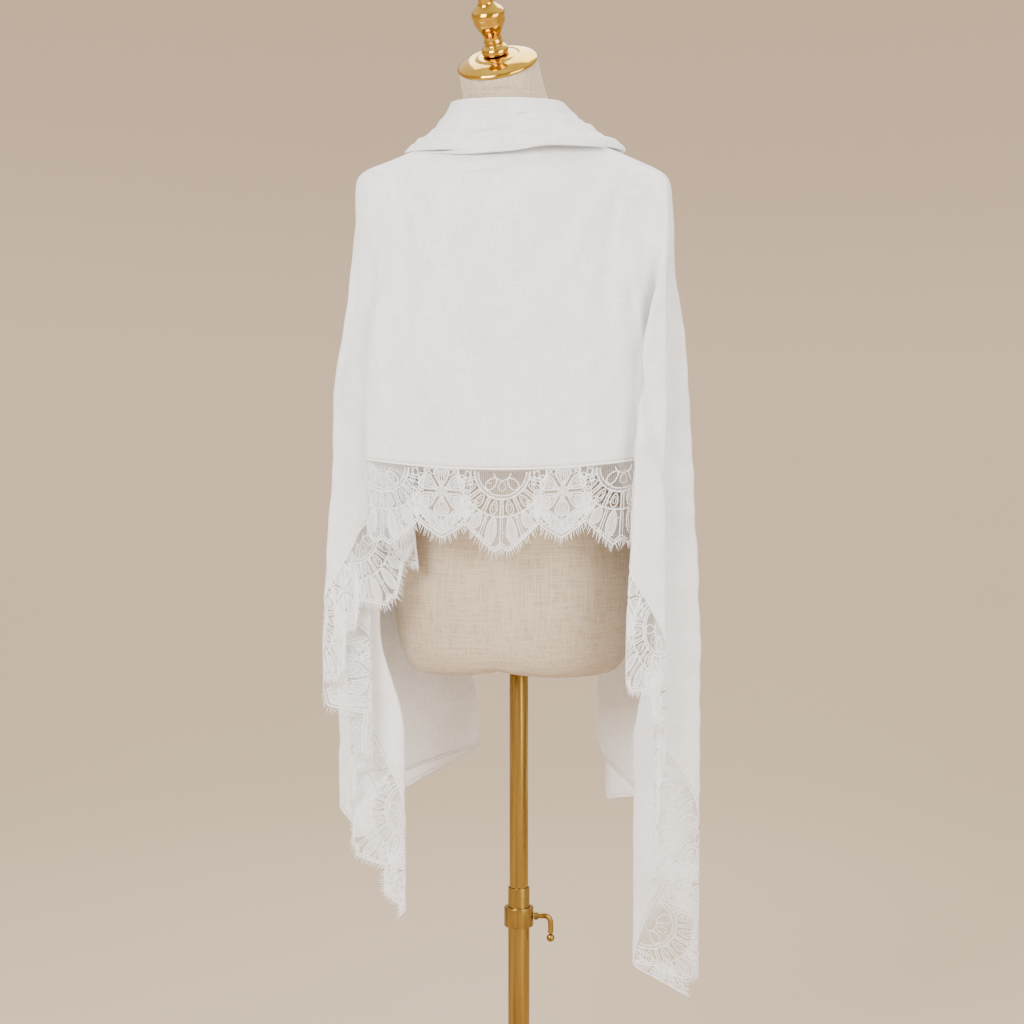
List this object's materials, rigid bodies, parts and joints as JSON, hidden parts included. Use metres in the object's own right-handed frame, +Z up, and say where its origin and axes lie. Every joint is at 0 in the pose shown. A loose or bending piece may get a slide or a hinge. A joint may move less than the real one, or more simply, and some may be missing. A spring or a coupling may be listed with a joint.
{
  "type": "lace-edged shawl on a dress form and stand",
  "caption": "Sheer voile shawl with a floral lace edge, draped over a limbless linen dress form on a height-adjustable brass stand.",
  "frame": {"origin": "centre of the round base's underside, on the floor", "axes": "+Z up along the pole, -Y towards the front of the shawl, +X to the viewer's right"},
  "size_m": [0.4821, 0.336, 1.5502],
  "materials": {
    "voile": "sheer white voile with a soft sheen",
    "lace": "white cotton lace",
    "linen": "natural linen with slubs",
    "polished_brass": "polished",
    "satin_brass": "satin, antiqued"
  },
  "bodies": {
    "base": {"base_plate": "satin_brass", "outer_tube": "satin_brass", "clamp_collar": "satin_brass"},
    "mast": {"inner_tube": "satin_brass"},
    "form": {"pole_socket": "satin_brass", "dress_form": "linen", "neck_cap": "polished_brass", "finial": "polished_brass", "cowl": "voile", "front_panel": "voile", "left_fall": "voile", "right_fall": "voile", "front_lace": "lace", "left_lace": "lace", "right_lace": "lace", "front_fringe": "lace", "left_fringe_1": "lace", "left_fringe_2": "lace", "left_fringe_4": "lace", "right_fringe_1": "lace", "right_fringe_2": "lace", "right_fringe_3": "lace"},
    "lever": {"clamp_lever": "satin_brass"}
  },
  "joints": [
    {"name": "height_slide", "type": "slide", "parent": "base", "child": "mast", "axis": [0, 0, 1], "range_m": [-0.16, 0.12]},
    {"name": "form_turn", "type": "hinge", "parent": "mast", "child": "form", "pos_m": [0, 0, 0.6796], "axis": [0, 0, 1], "continuous": true},
    {"name": "clamp_turn", "type": "hinge", "parent": "base", "child": "lever", "pos_m": [0.02, 0, 0.353], "axis": [1, 0, 0], "range_deg": [-90, 90]}
  ]
}
